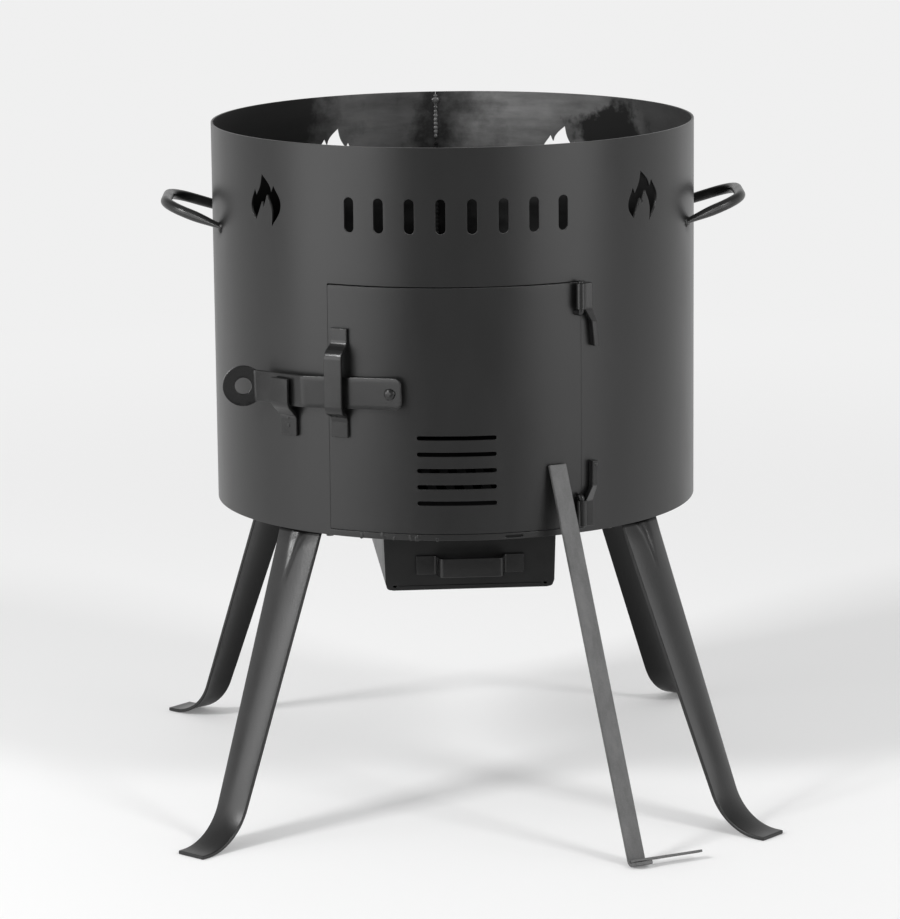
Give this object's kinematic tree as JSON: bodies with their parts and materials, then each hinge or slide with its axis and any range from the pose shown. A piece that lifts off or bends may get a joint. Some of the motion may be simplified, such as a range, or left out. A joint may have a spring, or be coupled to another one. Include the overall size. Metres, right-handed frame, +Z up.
{
  "type": "cauldron stove",
  "caption": "Round sheet steel wood stove that holds a cauldron in its open top, on splayed pressed legs, with a latched fire door, ash drawer, carrying handles and ash scraper.",
  "frame": {"origin": "on the floor under the middle of the whole object's box; the drum's axis stands 33.8 mm behind it", "axes": "+Z up, -Y out of the front where the ash drawer pulls out, +X to the right seen from the front"},
  "size_m": [0.4874, 0.555, 0.5586],
  "materials": {
    "black_sheet": "satin black heat-proof paint",
    "black_strap": "satin black heat-proof paint",
    "black_bar": "satin black heat-proof paint",
    "black_leg": "smooth black paint on pressed steel",
    "grate_iron": "rough cast iron, sooty",
    "zinc_fixing": "dull zinc plate",
    "scraper_steel": "plain rolled steel, oiled"
  },
  "bodies": {
    "stove_body": {"drum_shell": "black_sheet", "floor_plate": "black_sheet", "hinge_bracket_upper": "black_strap", "hinge_bracket_lower": "black_strap", "latch_keeper": "black_strap", "handle_left": "black_bar", "handle_right": "black_bar", "leg_front_left": "black_leg", "leg_front_right": "black_leg", "leg_rear_right": "black_leg", "leg_rear_left": "black_leg", "leg_bolt_1": "zinc_fixing", "leg_bolt_2": "zinc_fixing", "leg_bolt_3": "zinc_fixing", "leg_bolt_4": "zinc_fixing", "leg_bolt_5": "zinc_fixing", "leg_bolt_6": "zinc_fixing", "leg_bolt_7": "zinc_fixing", "leg_bolt_8": "zinc_fixing", "leg_nut_1": "zinc_fixing", "leg_nut_2": "zinc_fixing", "leg_nut_3": "zinc_fixing", "leg_nut_4": "zinc_fixing", "leg_nut_5": "zinc_fixing", "leg_nut_6": "zinc_fixing", "leg_nut_7": "zinc_fixing", "leg_nut_8": "zinc_fixing", "ash_rail_left": "black_sheet", "ash_rail_right": "black_sheet", "ash_rail_stop": "black_sheet"},
    "door": {"door_panel": "black_sheet", "hinge_pin_upper": "black_strap", "hinge_pin_lower": "black_strap", "latch_guide": "black_strap", "latch_rivet": "black_strap", "latch_spacer": "black_strap"},
    "latch": {"latch_bar": "black_strap"},
    "drawer": {"ash_drawer": "black_sheet", "drawer_handle": "black_strap"},
    "loose_grate": {"grate": "grate_iron"},
    "scraper": {"ash_scraper": "scraper_steel", "scraper_blade": "scraper_steel"}
  },
  "joints": [
    {"name": "door_hinge", "type": "hinge", "parent": "stove_body", "child": "door", "pos_m": [0.08559, -0.15358, 0.2499], "axis": [0, 0, 1], "range_deg": [0, 110]},
    {"name": "latch_pivot", "type": "hinge", "parent": "door", "child": "latch", "pos_m": [-0.06733, -0.15955, 0.363], "axis": [0.4384, 0.8988, 0], "range_deg": [0, 14]},
    {"name": "drawer_slide", "type": "slide", "parent": "stove_body", "child": "drawer", "axis": [0, -1, 0], "range_m": [0, 0.17]},
    {"name": "grate_lift", "type": "slide", "parent": "stove_body", "child": "loose_grate", "axis": [0, 0, 1], "range_m": [0, 0.33]},
    {"name": "scraper_move", "type": "slide", "parent": "stove_body", "child": "scraper", "axis": [0.3567, -0.9342, 0], "range_m": [0, 0.39]}
  ],
  "couplings": [
    {"joint": "scraper_move", "follows": "door_hinge", "m_per_rad": 0.2}
  ]
}
